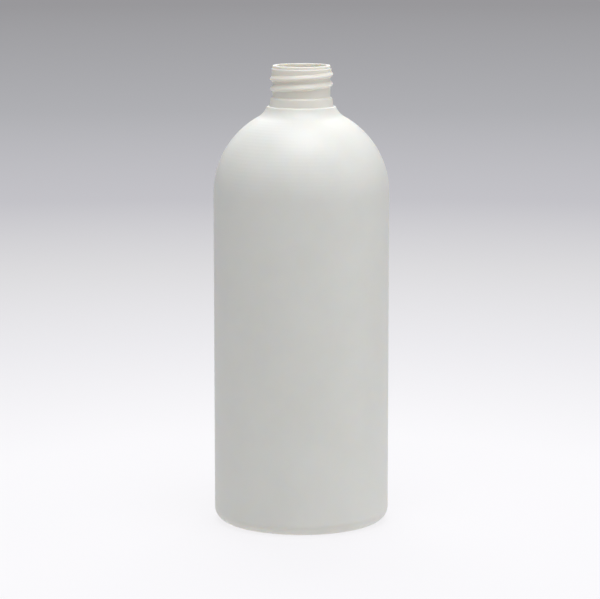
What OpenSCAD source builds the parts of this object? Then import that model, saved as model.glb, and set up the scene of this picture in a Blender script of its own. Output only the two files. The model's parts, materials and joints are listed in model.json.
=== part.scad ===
// Round bottle, blow moulded in one piece: straight body, domed shoulder and
// an open neck with one and a half turns of external thread.
// Millimetres. The bottle stands on z = 0, centred on the Z axis.

/* [Body] */
// Outside diameter of the straight body
body_d = 75.8; // [66:0.1:96]
// Height from the surface it stands on to the rim
total_h = 198.6; // [160:0.1:260]
// Radius of the shoulder's arc, which leaves the body tangentially
shoulder_r = 37.4; // [31:0.1:44]
// Thickness of the body and shoulder wall
wall_t = 1; // [0.6:0.1:1.6]

/* [Base] */
// Outside radius of the rounded heel between body and base
heel_r = 5.5; // [3:0.1:10]
// Thickness of the base
base_t = 1.3; // [0.8:0.1:2.5]
// Diameter of the recess inside the standing ring
recess_d = 56; // [40:1:62]
// Rise of the recess at its centre
push_up = 3.5; // [1:0.25:8]

/* [Flare] */
// Radius of the hollow flare between the shoulder and the ledge
flare_r = 9; // [5:0.25:12]
// Slope of the flare where it ends at the ledge's edge, from the horizontal
flare_slope = 67; // [55:1:80]

/* [Neck] */
// Diameter of the ledge that the neck rises from
ledge_d = 29.8; // [28.4:0.1:34]
// Height of the neck from the ledge to the rim
finish_h = 17.6; // [15.5:0.1:22]
// Inside diameter of the neck
bore_d = 21.8; // [18:0.1:22.4]
// Outside diameter of the neck wall between and below the threads
neck_d = 24.9; // [24.4:0.1:25.2]
// Outside diameter of the band above the thread
band_d = 25.6; // [25.2:0.1:26.2]
// Depth of the band's foot below the rim
band_depth = 4.5; // [3:0.1:6]
// Outside diameter of the lip at the rim
lip_d = 24.8; // [23.6:0.1:25.2]
// Height of the lip
lip_h = 1.2; // [0.6:0.1:2]
// Radius of the rim's rounded outer edge
rim_r = 0.2; // [0.1:0.05:0.6]
// Diameter of the collar below the thread, at the foot of its bevel
collar_d = 26.4; // [25.6:0.1:27]
// How much wider the collar is at the ledge, on the diameter
collar_draft = 1.1; // [0:0.1:1.3]
// Height of the collar above the ledge
collar_h = 4.2; // [2:0.1:5]
// Height of the bevel from the collar's edge up to the neck wall
collar_bevel = 0.7; // [0.3:0.1:1.5]

/* [Thread] */
// Outside diameter over the thread
thread_d = 27.2; // [26.6:0.1:28]
// Rise of the thread in one turn
thread_pitch = 4.233; // [3.6:0.001:4.8]
// Turns of full thread
thread_turns = 1.5; // [1:0.25:1.5]
// Depth of the thread's first crest below the rim
thread_start = 3.85; // [2.8:0.05:4.4]
// Width of the thread's crest
crest_w = 0.5; // [0.3:0.1:1]
// Height of the sloping side above the crest, which the cap slides on over
upper_flank = 1.7; // [0.8:0.1:2]
// Height of the steeper side below the crest, which holds the cap down
lower_flank = 0.8; // [0.4:0.1:1.2]
// Turn over which each end of the thread fades into the wall
fade_angle = 30; // [15:5:45]

/* [Hidden] */
$fn = 144;

body_r = body_d / 2;
heel_x = body_r - heel_r;

// The recess is a cap of a sphere through the standing ring's inner edge
recess_r = recess_d / 2;
cap_r = (recess_r * recess_r + push_up * push_up) / (2 * push_up);
cap_z = push_up - cap_r;

// The neck's edges are eased a little
edge_ease = 0.3;

// The flare's circle runs through the ledge's edge at the given slope, and
// touches the shoulder's circle
ledge_z = total_h - finish_h;
ledge_edge = [ledge_d / 2, ledge_z - edge_ease];
flare_centre = ledge_edge + flare_r * [sin(flare_slope), cos(flare_slope)];
shoulder_x = body_r - shoulder_r;
shoulder_z = flare_centre.y - leg(shoulder_r + flare_r, flare_centre.x - shoulder_x);
shoulder_centre = [shoulder_x, shoulder_z];

// Inside, the flare ends a little sooner, in a cone that narrows to the bore
throat_turn = 5;
throat_slope = flare_slope - throat_turn;
throat_foot = flare_centre - (flare_r + wall_t) * [sin(throat_slope), cos(throat_slope)];
throat_rise = 0.6;
throat_z = ledge_z + throat_rise;

collar_z = ledge_z + collar_h;
lip_z = total_h - lip_h;
band_z = total_h - band_depth;

// The thread's root is sunk a little into the neck wall
thread_h = (thread_d - neck_d) / 2;
thread_sink = thread_h / 4;
thread_step = 7.5;

// Other leg of a right triangle with this hypotenuse and leg
function leg(hypotenuse, side) = sqrt(hypotenuse * hypotenuse - side * side);

// Point where two touching circles meet, from the first centre to the second
function touch(centre_a, r_a, centre_b, r_b) =
    centre_a + (centre_b - centre_a) * r_a / (r_a + r_b);

// Rise of the thread at an angle from its start: 0 at both ends, 1 between
function fade(angle, full) =
    let (edge = min(angle, full - angle) / fade_angle)
    (1 - cos(180 * min(max(edge, 0), 1))) / 2;

// Area under the shoulder's arc and inside the flare, out from the axis. The
// gap is how far it lies inside the outer face, and top is where the flare ends
module shoulder_profile(gap, top) {
    dome_r = shoulder_r - gap;
    hollow_r = flare_r + gap;
    meet = touch(shoulder_centre, dome_r, flare_centre, hollow_r);
    intersection() {
        union() {
            translate(shoulder_centre) circle(dome_r);
            difference() {
                polygon([
                    [0, shoulder_z],
                    shoulder_centre,
                    meet,
                    flare_centre,
                    top,
                    [0, top.y]
                ]);
                translate(flare_centre) circle(hollow_r);
            }
        }
        translate([0, shoulder_z]) square([body_r, finish_h + dome_r]);
    }
}

// Outer outline of the body below the shoulder
module body_profile() {
    translate([0, heel_r]) square([body_r, shoulder_z - heel_r]);
    square([heel_x, heel_r]);
    translate([heel_x, heel_r]) circle(heel_r);
}

// Outer outline of the neck from the ledge to the rim
module neck_profile() {
    collar_r = collar_d / 2;
    polygon([
        [0, shoulder_z],
        ledge_edge,
        [ledge_edge.x - edge_ease, ledge_z],
        [collar_r + collar_draft / 2, ledge_z],
        [collar_r, collar_z - collar_bevel],
        [neck_d / 2, collar_z],
        [neck_d / 2, band_z],
        [band_d / 2, band_z + (band_d - neck_d) / 2],
        [band_d / 2, lip_z - edge_ease],
        [lip_d / 2, lip_z],
        [lip_d / 2, total_h - rim_r],
        [lip_d / 2 - rim_r, total_h - rim_r],
        [0, total_h - rim_r]
    ]);
    translate([0, total_h - rim_r]) square([lip_d / 2 - rim_r, rim_r]);
    translate([lip_d / 2 - rim_r, total_h - rim_r]) circle(rim_r);
}

// Outline of the space inside: body, shoulder, throat and bore
module cavity_profile() {
    inner_r = body_r - wall_t;
    inner_heel_r = max(heel_r - wall_t, edge_ease);
    inner_heel_z = base_t + inner_heel_r;
    difference() {
        union() {
            translate([0, inner_heel_z]) square([inner_r, shoulder_z - inner_heel_z]);
            translate([0, base_t]) square([inner_r - inner_heel_r, inner_heel_r]);
            translate([inner_r - inner_heel_r, inner_heel_z]) circle(inner_heel_r);
        }
        translate([0, cap_z]) circle(cap_r + base_t);
    }
    shoulder_profile(wall_t, throat_foot);
    polygon([
        [0, throat_foot.y],
        throat_foot,
        [bore_d / 2, throat_z],
        [0, throat_z]
    ]);
    translate([0, throat_z]) square([bore_d / 2, total_h - throat_z + 1]);
}

// Distance of one side of the thread from the middle of its crest, at a
// height over the neck wall
function side(height, flank) = crest_w / 2 + flank * (1 - height / thread_h);

// Section of the thread in its own plane, from its sunk root to its rounded
// crest: [height over the neck wall, distance up from the helix]. The rise
// goes from 0, where the crest lies inside the wall, to 1 at full height
function thread_section(rise) =
    let (
        crest = -thread_sink / 2 + (thread_h + thread_sink / 2) * rise,
        rounding = thread_sink / 3
    )
    [
        [-thread_sink, -side(-thread_sink, lower_flank)],
        [crest - rounding, -side(thread_h - rounding, lower_flank)],
        [crest, rounding - crest_w / 2],
        [crest, crest_w / 2 - rounding],
        [crest - rounding, side(thread_h - rounding, upper_flank)],
        [-thread_sink, side(-thread_sink, upper_flank)]
    ];

// Thread: the section is carried down a helix that starts at the right-hand
// side, passes in front, and fades into the wall at both ends
module thread() {
    full = thread_turns * 360 + 2 * fade_angle;
    steps = ceil(full / thread_step);
    sides = len(thread_section(1));
    points = [
        for (i = [0 : steps])
            let (
                turned = full * i / steps,
                angle = fade_angle - turned,
                crest_z = total_h - thread_start + thread_pitch * angle / 360
            )
            for (p = thread_section(fade(turned, full)))
                let (r = neck_d / 2 + p.x)
                [r * cos(angle), r * sin(angle), crest_z + p.y]
    ];
    skin = [
        for (i = [0 : steps - 1])
            for (j = [0 : sides - 1])
                let (
                    a = i * sides + j,
                    b = i * sides + (j + 1) % sides,
                    c = b + sides,
                    d = a + sides
                )
                each [[a, c, b], [a, d, c]]
    ];
    first_end = [for (j = [0 : sides - 1]) j];
    last_end = [for (j = [sides - 1 : -1 : 0]) steps * sides + j];
    polyhedron(points, concat(skin, [first_end, last_end]));
}

// The whole bottle is one shell, open only at the rim
module bottle() {
    color("#f1f0ea") {
        rotate_extrude() {
            difference() {
                union() {
                    body_profile();
                    shoulder_profile(0, ledge_edge);
                    neck_profile();
                }
                cavity_profile();
                translate([0, cap_z]) circle(cap_r);
            }
        }
        thread();
    }
}

bottle();
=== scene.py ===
# %% [markdown]
# # A blow moulded round bottle
#
# The real bottle starts as a hot tube of plastic. Two mould halves close on the tube, air blows it out
# against them, and the neck is pressed to its exact size. So everything is one skin: body, shoulder, neck
# and thread. It could be modelled as a subdivided cylinder with a separate thread, but then the two would
# only cross. Here the skin is one closed surface worked out with numpy. An outline is turned around the
# axis, and the thread is a change of radius that grows out of the neck.

# %% Load the solid model
import json

import bpy
import numpy as np
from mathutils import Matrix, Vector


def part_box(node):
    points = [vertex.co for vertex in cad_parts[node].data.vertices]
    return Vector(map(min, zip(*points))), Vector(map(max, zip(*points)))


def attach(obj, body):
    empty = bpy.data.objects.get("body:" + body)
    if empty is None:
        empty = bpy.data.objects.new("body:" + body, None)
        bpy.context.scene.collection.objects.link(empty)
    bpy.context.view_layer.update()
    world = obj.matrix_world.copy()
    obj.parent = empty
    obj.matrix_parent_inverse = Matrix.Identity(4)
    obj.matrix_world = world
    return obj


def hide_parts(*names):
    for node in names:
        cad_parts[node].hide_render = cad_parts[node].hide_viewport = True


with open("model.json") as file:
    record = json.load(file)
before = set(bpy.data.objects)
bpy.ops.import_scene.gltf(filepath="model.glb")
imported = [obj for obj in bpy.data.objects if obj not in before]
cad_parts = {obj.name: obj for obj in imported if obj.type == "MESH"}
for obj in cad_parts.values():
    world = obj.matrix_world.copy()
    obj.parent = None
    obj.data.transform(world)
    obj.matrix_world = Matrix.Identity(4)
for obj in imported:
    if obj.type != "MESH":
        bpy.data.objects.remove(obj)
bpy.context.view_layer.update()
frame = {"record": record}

# %% [markdown]
# ## Sizes
#
# Plastic bottles are drawn in millimetres, so the outline is worked out in millimetres too, and one factor
# turns it into Blender's metres at the end. The overall sizes come from the solid model, so the skin always
# fits it. The smaller ones are those of the same drawing, and each is set where it is first needed.

# %% Sizes from the solid model
MM = 0.001

node_low, node_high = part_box("bottle")
body_r = (node_high.x - node_low.x) / 2 / MM
total_h = node_high.z / MM

neck_bore = next(mount for mount in frame["record"]["mounts"] if mount["name"] == "neck_bore")
bore_r = neck_bore["dims"]["r_mm"]
throat_z = total_h - neck_bore["dims"]["length_mm"]
print(f"body {2 * body_r:.1f} mm wide, {total_h:.1f} mm high, bore {2 * bore_r:.1f} mm wide")

# %% [markdown]
# ## Arcs and eased corners
#
# Cut the bottle in half and look at one edge of the cut: that line is the outline. Each point is a pair,
# distance from the axis and height. The wide curves are true arcs. The small steps of the neck are
# straight lines with eased corners, because a mould has no sharp edges, and the eased edge is what catches
# the light.

# %% Helpers for the outline
CHORD_GAP = 0.01


def direction(angle):
    """Unit vector (cos a, sin a) of an angle in degrees, or one row for each angle of an array."""
    a = np.radians(angle)
    return np.stack([np.cos(a), np.sin(a)], axis=-1)


def arc(centre, radius, first, last):
    """Points centre + radius * (cos a, sin a), while a goes from first to last. The steps are so short
    that no chord lies more than CHORD_GAP inside the arc: a step is 2 arccos(1 - CHORD_GAP / radius)."""
    step = np.degrees(2 * np.arccos(1 - CHORD_GAP / radius))
    steps = int(np.ceil(abs(last - first) / step))
    return np.asarray(centre) + radius * direction(np.linspace(first, last, steps + 1))


def eased(*corners):
    """Path through corners (distance, height, easing). An eased corner is an arc that touches both of its
    sides: its centre lies easing / sin(half the corner's angle) along the line that halves the corner."""
    parts = []
    for before, corner, after in zip((corners[0], *corners), corners, (*corners[1:], corners[-1])):
        here, easing = np.array(corner[:2]), corner[2]
        if easing == 0:
            parts.append(here[None])
            continue
        sides = np.array([before[:2], after[:2]]) - here
        sides /= np.linalg.norm(sides, axis=1)[:, None]
        half = np.arccos(sides[0] @ sides[1]) / 2
        middle = sides.sum(axis=0) / np.linalg.norm(sides.sum(axis=0))
        centre = here + middle * easing / np.sin(half)
        touching = here + sides * easing / np.tan(half) - centre
        first, last = np.degrees(np.arctan2(touching[:, 1], touching[:, 0]))
        parts.append(arc(centre, easing, first, first + (last - first + 180) % 360 - 180))
    return np.vstack(parts)


# %% [markdown]
# ## The base
#
# A full bottle would rock on a bulging base. So the base is pushed up into a shallow cap, part of a large
# sphere, and the bottle stands on the flat ring around it. The ring turns into the wall by the heel, a
# rounded edge that the blown plastic can fill. The same function draws the floor inside, a little higher.

# %% Outline of the base
heel_r, base_t, wall_t = 5.5, 1.3, 1.0
recess_r, push_up = 28.0, 3.5
RING_EASE = 1.0

heel_x = body_r - heel_r
cap_r = (recess_r ** 2 + push_up ** 2) / (2 * push_up)
cap_z = push_up - cap_r


def base_outline(rise):
    """From the axis out: the cap's arc, the eased edge of the ring, the ring, and a quarter turn of heel.
    The rise lifts it all by a thickness, and then the heel is smaller by the wall's thickness."""
    r = cap_r + rise
    edge_x = np.sqrt(r ** 2 - (rise - cap_z) ** 2)
    cap_end = np.degrees(np.arccos((edge_x - 2 * RING_EASE) / r))
    cap = arc((0, cap_z), r, 90, cap_end)
    ring = eased((*cap[-1], 0), (edge_x, rise, RING_EASE), (heel_x, rise, 0))
    corner_r = heel_r - (wall_t if rise else 0)
    heel = arc((heel_x, rise + corner_r), corner_r, -90, 0)
    return np.vstack([cap[:-1], ring[:-1], heel])


base_outside = base_outline(0.0)
base_inside = base_outline(base_t)[::-1]
print("base of", len(base_outside), "points, pushed up by", round(base_outside[0, 1], 2), "mm")

# %% [markdown]
# ## The shoulder
#
# The shoulder is a dome: one arc that leaves the wall without an edge. A hollow flare turns it up towards
# the neck, and ends steeply at the ledge's edge. Both circles touch, so where they meet is on the line
# between their centres, and the dome's height follows from that.

# %% Outline of the shoulder
shoulder_r, flare_r, flare_slope = 37.4, 9.0, 67.0
finish_h, ledge_r, ledge_edge = 17.6, 14.9, 0.3

ledge_z = total_h - finish_h
flare_end = 270 - flare_slope
flare_top = np.array([ledge_r, ledge_z - ledge_edge])
flare_centre = flare_top - flare_r * direction(flare_end)
dome_x = body_r - shoulder_r
dome_rise = np.sqrt((shoulder_r + flare_r) ** 2 - (flare_centre[0] - dome_x) ** 2)
dome_centre = np.array([dome_x, flare_centre[1] - dome_rise])
meet_angle = np.degrees(np.arcsin(dome_rise / (shoulder_r + flare_r)))

shoulder_outside = np.vstack([
    arc(dome_centre, shoulder_r, 0, meet_angle),
    arc(flare_centre, flare_r, meet_angle + 180, flare_end)[1:],
])
print(f"dome from {dome_centre[1]:.1f} mm up to a ledge at {ledge_z:.1f} mm")

# %% [markdown]
# ## The neck
#
# The neck is the part that a cap must fit, so its steps follow a common standard: a ledge that the cap
# comes down to, a short collar, the wall that carries the thread, a slightly thicker band, and the lip.
# Inside, a straight bore widens into the throat.

# %% Outline of the neck
collar_foot_r, collar_top_r, collar_h, collar_bevel = 13.75, 13.2, 4.2, 0.7
neck_r, band_r, band_depth = 12.45, 12.8, 4.5
lip_r, lip_h, lip_slope = 12.4, 1.2, 0.15
throat_turn = 5.0

collar_z = ledge_z + collar_h
band_z = total_h - band_depth
lip_z = total_h - lip_h
throat_angle = flare_end + throat_turn
throat_foot = flare_centre + (flare_r + wall_t) * direction(throat_angle)

neck_outline = eased(
    (*flare_top, 0),
    (ledge_r - ledge_edge / np.tan(np.radians(flare_slope)), ledge_z, 0.4),
    (collar_foot_r, ledge_z, 0.3),
    (collar_top_r, collar_z - collar_bevel, 0.3),
    (neck_r, collar_z, 0.2),
    (neck_r, band_z, 0.3),
    (band_r, band_z + band_r - neck_r, 0.2),
    (band_r, lip_z - lip_slope, 0.25),
    (lip_r, lip_z, 0.25),
    (lip_r, total_h, 0.12),
    (bore_r, total_h, 0.15),
    (bore_r, throat_z, 1.0),
    (*throat_foot, 0),
)
print("neck of", len(neck_outline), "points, widest at", neck_outline[:, 0].max(), "mm from the axis")

# %% [markdown]
# ## Rows of the surface
#
# The whole outline runs from under the middle of the base, out and up, over the rim, and down the inside.
# It has points only where it bends. The thread needs many rows between the collar and the lip, and the
# weld under the base needs them closest at the middle. A long straight stretch needs a row close to each
# end: then smooth shading stays flat along it, and bends only where the plastic does.

# %% Join the outline and add rows
THREAD_ROW, PLAIN_ROW, GUARD_ROW, CLOSEST_ROW = 0.12, 8.0, 0.15, 0.04
LONG_STEP, SAME_PLACE = 6 * GUARD_ROW, 0.001
WELD_LENGTH, WELD_ROWS, WELD_BUNCHING = 23.0, 24, 1.5

shoulder_inside = np.vstack([
    arc(flare_centre, flare_r + wall_t, throat_angle, meet_angle + 180),
    arc(dome_centre, shoulder_r - wall_t, meet_angle, 0)[1:],
])
outline = np.vstack([
    base_outside, shoulder_outside, neck_outline[1:], shoulder_inside[1:], base_inside,
])


def with_rows(points):
    """The outline with rows at extra distances along it. Each coordinate is read off at a distance by
    straight interpolation, and an extra row too close to a point of the outline is left out."""
    steps = np.linalg.norm(np.diff(points, axis=0), axis=1)
    s = np.concatenate([[0], np.cumsum(steps)])
    long = steps > LONG_STEP
    upward = s[:np.argmax(points[:, 1])]
    thread_s = np.interp([collar_z, lip_z], points[:len(upward), 1], upward)
    extra = np.concatenate([
        WELD_LENGTH * np.linspace(0, 1, WELD_ROWS) ** WELD_BUNCHING,
        np.arange(0, s[-1], PLAIN_ROW),
        np.arange(*thread_s, THREAD_ROW),
        s[:-1][long] + GUARD_ROW,
        s[1:][long] - GUARD_ROW,
    ])
    extra = extra[np.abs(extra[:, None] - s).min(axis=1) > CLOSEST_ROW]
    every = np.unique(np.concatenate([s, extra]).round(4))
    every = every[np.concatenate([[True], np.diff(every) > SAME_PLACE])]
    return np.column_stack([np.interp(every, s, points[:, 0]), np.interp(every, s, points[:, 1])])


rows = with_rows(outline)
print(len(outline), "points of outline,", len(rows), "rows")

# %% [markdown]
# ## The thread
#
# The thread is a ridge that climbs one pitch in each turn. 4.233 mm is six turns to the inch, so a cap
# made anywhere fits. It starts at the right, passes in front, goes round one and a half times, and fades
# out at both ends, as the mould's groove does. Its section is a buttress: the upper side slopes, so that
# the cap slides on, and the lower side, which holds the cap down, is short and steep. Each point of the
# neck asks how far it is from the middle line of the crest, and that gives its height over the wall.

# %% Height of the thread
thread_r, crest_w, upper_flank_w, lower_flank_w = 13.6, 0.5, 1.7, 0.8
thread_pitch, thread_turns, thread_start = 4.233, 1.5, 3.85
FADE, SLOPE_EASE = 30.0, 0.15


def smooth(t):
    """Goes from 0 to 1 with level ends: 3 t squared less 2 t cubed, with t held between 0 and 1."""
    t = np.clip(t, 0, 1)
    return t * t * (3 - 2 * t)


def eased_slope(t):
    """Straight from 0 to 1, with a parabola of width SLOPE_EASE at each end: the difference of the
    integrals of two ramps, ((t + e) squared) / 4e near 0 and the same mirrored near 1."""
    e = SLOPE_EASE
    def rise(x):
        return np.where(x < -e, 0, np.where(x > e, x, (np.clip(x, -e, e) + e) ** 2 / (4 * e)))
    return rise(t) - rise(t - 1)


def thread_height(angle, z):
    """Height over the neck wall at an angle in degrees and a height in millimetres. The middle line falls
    by one pitch a turn, and each point looks at the first and the second turn that pass its angle. The
    ridge is full within half a crest of the line and slopes straight down to its foot on each side. The
    slope's two ends are eased over a share of its width."""
    whole = 360 * thread_turns + 2 * FADE
    height = np.zeros(np.broadcast(angle, z).shape)
    for turn in (0, 1):
        turned = (FADE - angle) % 360 + 360 * turn
        crest_z = total_h - thread_start + thread_pitch * (FADE - turned) / 360
        ends = smooth(np.minimum(turned, whole - turned) / FADE)
        above = z - crest_z
        flank_w = np.where(above > 0, upper_flank_w, lower_flank_w)
        slope = eased_slope(1 - (abs(above) - crest_w / 2) / flank_w)
        height = np.maximum(height, (thread_r - neck_r) * ends * slope)
    return height


print("thread height in front, 6 mm below the rim:", thread_height(np.array([-90.0]), total_h - 6.0))

# %% [markdown]
# ## Mould marks
#
# Every blown bottle shows where its mould halves met: a hair line up both sides and, under the base, the
# weld where they pinched the tube shut. Both lie in the plane of the join, so from the front they
# hide at the edges. They are real steps of the mesh, a few hundredths of a millimetre for the join.

# %% Height of the join and of the weld
JOIN_H, JOIN_W = 0.05, 0.22
WELD_H, WELD_W, WELD_END = 0.35, 0.8, 3.0


def join_height(y):
    """Height at a distance y from the plane of the join: a bell curve about half a millimetre wide."""
    return JOIN_H * np.exp(-(y / JOIN_W) ** 2)


def weld_height(x, y):
    """Height under the base: a bell curve across y, which runs out over WELD_END before WELD_LENGTH."""
    return WELD_H * np.exp(-(y / WELD_W) ** 2) * smooth((WELD_LENGTH - abs(x)) / WELD_END)


print("join", join_height(0.0), "mm high, weld", weld_height(0.0, 0.0), "mm high")

# %% [markdown]
# ## The skin
#
# Now the outline is turned around the axis. The columns are evenly spaced, with a few more close to the
# join, which is finer than a column. Each end of the outline is one point with a fan of triangles, so the
# skin is closed, and its inside wall is there when you look into the neck.

# %% Turn the outline into the skin
COLUMNS = 192
JOIN_COLUMNS = np.array([-0.6, -0.3, 0.3, 0.6])


def turned_points(angle):
    """Grid of points (r cos a, r sin a, z), one line for each row between the two ends of the outline. The
    thread and the join push a point out from the axis, and the weld pushes it down."""
    r, z = rows[1:-1, :1], rows[1:-1, 1:]
    a = np.radians(angle)
    before = np.arange(len(r))[:, None]
    under = before < np.argmax(r >= heel_x)
    outside = ~under & (before <= np.argmax(z))
    on_neck = outside & (z > collar_z) & (z < lip_z)
    thread = np.maximum(neck_r + thread_height(angle, z) - r, 0) * on_neck
    r_out = r + thread + join_height(r * np.sin(a)) * outside
    z_out = z - weld_height(r * np.cos(a), r * np.sin(a)) * under
    return np.stack([r_out * np.cos(a), r_out * np.sin(a), z_out], axis=2)


def closed_faces(lines, count):
    """Quads between neighbouring points of the grid, and a fan of triangles from each end point."""
    this = np.arange(count)
    next_one = (this + 1) % count
    corner = np.arange(lines - 1)[:, None] * count
    above = corner + count
    quads = np.stack([corner + this, corner + next_one, above + next_one, above + this], 2)
    first, last = np.full(count, lines * count), np.full(count, lines * count + 1)
    end = (lines - 1) * count
    fans = np.vstack([
        np.column_stack([first, next_one, this]),
        np.column_stack([last, end + this, end + next_one]),
    ])
    return quads.reshape(-1, 4).tolist() + fans.tolist()


def blown_skin(name):
    """The whole skin as one mesh in metres, shaded smooth."""
    even = np.arange(COLUMNS) * 360 / COLUMNS
    angle = np.unique(np.concatenate([even, JOIN_COLUMNS % 360, 180 + JOIN_COLUMNS]))
    grid = turned_points(angle)
    ends = [[0, 0, rows[0, 1] - WELD_H], [0, 0, rows[-1, 1]]]
    mesh = bpy.data.meshes.new(name)
    points = np.vstack([grid.reshape(-1, 3), ends]) * MM
    mesh.from_pydata(points, [], closed_faces(len(grid), len(angle)))
    mesh.shade_smooth()
    skin = bpy.data.objects.new(name, mesh)
    bpy.context.scene.collection.objects.link(skin)
    return skin


bottle = blown_skin("bottle_skin")
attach(bottle, "root")
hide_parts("bottle")
print(bottle.name, "has", len(bottle.data.vertices), "points and", len(bottle.data.polygons), "faces")

# %% [markdown]
# ## Colours and nodes
#
# Colours are written as they look on a screen, in hex, and turned to the linear values that a renderer
# adds up. One helper adds a node: a plain value is set on its input, and an output is linked to it.

# %% Helpers for materials
def linear(hex_colour):
    """Linear RGBA of an sRGB colour: c / 12.92 up to 0.04045, and ((c + 0.055) / 1.055) ** 2.4 above it."""
    c = np.array([int(hex_colour[i:i + 2], 16) for i in (1, 3, 5)]) / 255
    return (*np.where(c <= 0.04045, c / 12.92, ((c + 0.055) / 1.055) ** 2.4), 1.0)


def add_node(tree, kind, inputs=None, **settings):
    """Adds a node, makes its settings, and sets each named input to a value or links an output to it."""
    node = tree.nodes.new(kind)
    for name, value in settings.items():
        setattr(node, name, value)
    for name, value in (inputs or {}).items():
        if isinstance(value, bpy.types.NodeSocket):
            tree.links.new(value, node.inputs[name])
        else:
            node.inputs[name].default_value = value
    return node


def colour_steps(ramp, steps):
    """Sets a colour ramp's stops from pairs of place and hex colour, in rising order."""
    elements = ramp.color_ramp.elements
    while len(elements) < len(steps):
        elements.new(1.0)
    for element, (place, colour) in zip(elements, steps):
        element.position = place
        element.color = linear(colour)


def new_material(name):
    """A node material with nothing in it, and its tree."""
    material = bpy.data.materials.new(name)
    material.use_nodes = True
    material.node_tree.nodes.clear()
    return material, material.node_tree


print("white is", linear("#FFFFFF"))

# %% [markdown]
# ## White high-density polyethylene
#
# The bottle is high-density polyethylene with white pigment: a waxy, slightly warm white. Blown against a
# sand-blasted mould it comes out satin, with wide soft reflections. Some light goes into the wall and
# comes out again up to two millimetres away. That keeps the shadows of the thread soft and warm, and lets
# a little light through into the mouth. The soft tube leaves faint drawn lines up the wall, and the cooling
# leaves slow clouds in the gloss. The blasted grain is a few hundredths of a millimetre, too fine to show,
# so it is drawn several times coarser.

# %% Material of the skin
PLASTIC_WHITE, PLASTIC_SHADE = "#F2EFE6", "#EEEBE2"
CLOUD_SIZE, LINE_WIDTH, LINE_LENGTH, GRAIN_SIZE = 22.0, 2.5, 120.0, 0.4
LINE_DEPTH, GRAIN_DEPTH = 0.010, 0.004
PLASTIC_IOR, DULLEST, GLOSSIEST = 1.54, 0.50, 0.42
SPREAD_SHARE, SPREAD_DEPTH = 0.7, 2.0


def polyethylene_blown():
    """Clouds tint the colour and the gloss a little, and two bumps add the drawn lines and the grain."""
    material, tree = new_material("polyethylene_white_blown")
    place = add_node(tree, "ShaderNodeTexCoord").outputs["Object"]
    clouds = add_node(tree, "ShaderNodeTexNoise", {
        "Vector": place, "Scale": 1 / (CLOUD_SIZE * MM), "Detail": 3.0,
    })
    tint = add_node(tree, "ShaderNodeValToRGB", {"Fac": clouds.outputs["Fac"]})
    colour_steps(tint, [(0.3, PLASTIC_SHADE), (0.7, PLASTIC_WHITE)])
    gloss = add_node(tree, "ShaderNodeMapRange", {
        "Value": clouds.outputs["Fac"], "From Min": 0.3, "From Max": 0.7,
        "To Min": GLOSSIEST, "To Max": DULLEST,
    })
    across, along = 1 / (LINE_WIDTH * MM), 1 / (LINE_LENGTH * MM)
    drawn = add_node(tree, "ShaderNodeMapping", {"Vector": place, "Scale": (across, across, along)})
    lines = add_node(tree, "ShaderNodeTexNoise", {
        "Vector": drawn.outputs["Vector"], "Scale": 1.0, "Detail": 1.0,
    })
    line_bump = add_node(tree, "ShaderNodeBump", {
        "Height": lines.outputs["Fac"], "Distance": LINE_DEPTH * MM,
    })
    grain = add_node(tree, "ShaderNodeTexNoise", {
        "Vector": place, "Scale": 1 / (GRAIN_SIZE * MM), "Detail": 2.0,
    })
    grain_bump = add_node(tree, "ShaderNodeBump", {
        "Height": grain.outputs["Fac"], "Distance": GRAIN_DEPTH * MM, "Normal": line_bump.outputs["Normal"],
    })
    plastic = add_node(tree, "ShaderNodeBsdfPrincipled", {
        "Base Color": tint.outputs["Color"],
        "Roughness": gloss.outputs["Result"],
        "IOR": PLASTIC_IOR,
        "Subsurface Weight": SPREAD_SHARE,
        "Subsurface Radius": (1.0, 0.8, 0.6),
        "Subsurface Scale": SPREAD_DEPTH * MM,
        "Normal": grain_bump.outputs["Normal"],
    })
    add_node(tree, "ShaderNodeOutputMaterial", {"Surface": plastic.outputs["BSDF"]})
    return material


bottle.data.materials.append(polyethylene_blown())
print("material", bottle.data.materials[0].name)

# %% [markdown]
# ## Floor
#
# Product bottles are photographed on a table of white acrylic that is lit from below. Here the way its
# light falls off to grey behind the bottle is painted shade: a ramp darkens the table's colour and its glow
# with distance. The camera looks down a little, so all it sees is table. Most of its light is its own glow,
# which leaves only a faint shadow. The camera and the reflections see it bright, but it lights the bottle
# less, so the wall stays a soft grey. The painted fade goes by distance and is the same all round, so the
# picture stays calm from every side.

# %% Floor with a painted fall-off to grey
FLOOR_REACH = 8.0
PAINTED_FALLOFF_END = 4.5
GLOW_SHARE, GLOW_ON_BOTTLE = 0.85, 0.74
# Painted shade: these greys darken the floor's colour and glow with distance, standing in for light falling
# off.
FLOOR_PAINTED_FALLOFF = [
    (0.04, "#F7F6F8"),
    (0.10, "#E9E8EB"),
    (0.17, "#DAD9DB"),
    (0.26, "#C3C2C7"),
    (0.45, "#B4B4B8"),
    (1.00, "#A1A0A3"),
]


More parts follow.
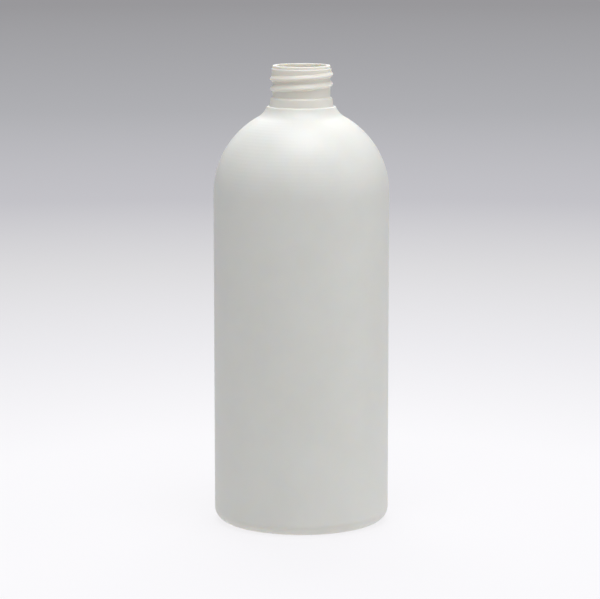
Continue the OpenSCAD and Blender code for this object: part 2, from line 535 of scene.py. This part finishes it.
def studio_floor():
    """A flat square under the bottle. Its colour is read from a ramp by the distance from the axis: painted
    shade that greys the sheet and its glow further out, in place of light falling off. It glows with
    strength 1 where the ray comes from the camera, a reflection or a clear piece, and less elsewhere."""
    mesh = bpy.data.meshes.new("studio_floor")
    corners = [(x * FLOOR_REACH, y * FLOOR_REACH, 0) for x, y in ((-1, -1), (1, -1), (1, 1), (-1, 1))]
    mesh.from_pydata(corners, [], [(0, 1, 2, 3)])
    material, tree = new_material("acrylic_opal_lit")
    place = add_node(tree, "ShaderNodeTexCoord").outputs["Object"]
    away = add_node(tree, "ShaderNodeVectorMath", {0: place}, operation="LENGTH")
    share = add_node(tree, "ShaderNodeMapRange", {"Value": away.outputs["Value"], "From Max": PAINTED_FALLOFF_END})
    # The ramp paints the fall-off of light: greyer colour and weaker glow further from the bottle.
    ramp = add_node(tree, "ShaderNodeValToRGB", {"Fac": share.outputs["Result"]})
    colour_steps(ramp, FLOOR_PAINTED_FALLOFF)
    ray = add_node(tree, "ShaderNodeLightPath").outputs
    mirrored = add_node(tree, "ShaderNodeMath", {0: ray["Is Glossy Ray"], 1: ray["Is Transmission Ray"]})
    seen = add_node(tree, "ShaderNodeMath", {0: ray["Is Camera Ray"], 1: mirrored.outputs["Value"]})
    strength = add_node(tree, "ShaderNodeMapRange", {
        "Value": seen.outputs["Value"], "To Min": GLOW_ON_BOTTLE,
    })
    sheet = add_node(tree, "ShaderNodeBsdfDiffuse", {"Color": ramp.outputs["Color"]})
    glow = add_node(tree, "ShaderNodeEmission", {
        "Color": ramp.outputs["Color"], "Strength": strength.outputs["Result"],
    })
    table = add_node(tree, "ShaderNodeMixShader", {
        0: GLOW_SHARE, 1: sheet.outputs["BSDF"], 2: glow.outputs["Emission"],
    })
    add_node(tree, "ShaderNodeOutputMaterial", {"Surface": table.outputs["Shader"]})
    mesh.materials.append(material)
    floor = bpy.data.objects.new("studio_floor", mesh)
    bpy.context.scene.collection.objects.link(floor)
    return floor


studio_floor()
print("floor reaches", FLOOR_REACH, "m")

# %% [markdown]
# ## Light
#
# A softbox hangs high over the bottle, with a wider, weaker one in front of it and one behind. They light
# the dome, the ledge and the top of each ridge, and leave the wall a step darker. A fourth one, low at the
# right, makes the wall slowly brighter towards that side. The lit table sends light up at the wall and the
# heel, and a weak world light fills the rest.

# %% Softboxes and world
def softbox(name, place, aim, size, power, colour="#FFFFFF"):
    """A square area lamp at a place, turned so that it faces the aim."""
    lamp = bpy.data.lights.new(name, "AREA")
    lamp.color = linear(colour)[:3]
    lamp.size = size
    lamp.energy = power
    box = bpy.data.objects.new(name, lamp)
    box.location = place
    towards = np.array(aim) - np.array(place)
    level = np.hypot(towards[0], towards[1])
    box.rotation_euler = (np.arctan2(level, -towards[2]), 0, np.arctan2(-towards[0], towards[1]))
    bpy.context.scene.collection.objects.link(box)
    return box


WORLD_COLOUR, WORLD_STRENGTH = "#C9CCD0", 0.46

middle = (0, 0, total_h * MM / 2)
softbox("overhead", (0.1, -0.3, 1.9), middle, 1.2, 20.5, "#FAFAFF")
softbox("front", (0.0, -0.8, 1.5), middle, 1.4, 6.5)
softbox("back", (0.0, 1.2, 1.6), middle, 1.4, 17.5)
softbox("right", (2.0, -0.3, 0.3), middle, 1.4, 7.7)

world = bpy.data.worlds.new("studio")
world.use_nodes = True
sky = world.node_tree.nodes["Background"]
sky.inputs["Color"].default_value = linear(WORLD_COLOUR)
sky.inputs["Strength"].default_value = WORLD_STRENGTH
bpy.context.scene.world = world
bpy.context.scene.view_settings.view_transform = "Standard"

# %% [markdown]
# ## Camera
#
# A long lens from more than a metre away keeps the bottle's sides straight. It looks down by nine degrees,
# enough to see the ledge as a ring and a sliver of the rim.

# %% Camera
CAMERA_AWAY, CAMERA_DOWN, CAMERA_LENS = 1.20, 8.95, 165.7
CAMERA_AIM = np.array([-0.0006, 0.0, 0.0969])

view = bpy.data.cameras.new("camera")
view.lens = CAMERA_LENS
camera = bpy.data.objects.new("camera", view)
back, up = direction(CAMERA_DOWN) * CAMERA_AWAY
camera.location = CAMERA_AIM + (0, -back, up)
camera.rotation_euler = (np.radians(90 - CAMERA_DOWN), 0, 0)
bpy.context.scene.collection.objects.link(camera)
bpy.context.scene.camera = camera
print("camera at", [round(v, 3) for v in camera.location])
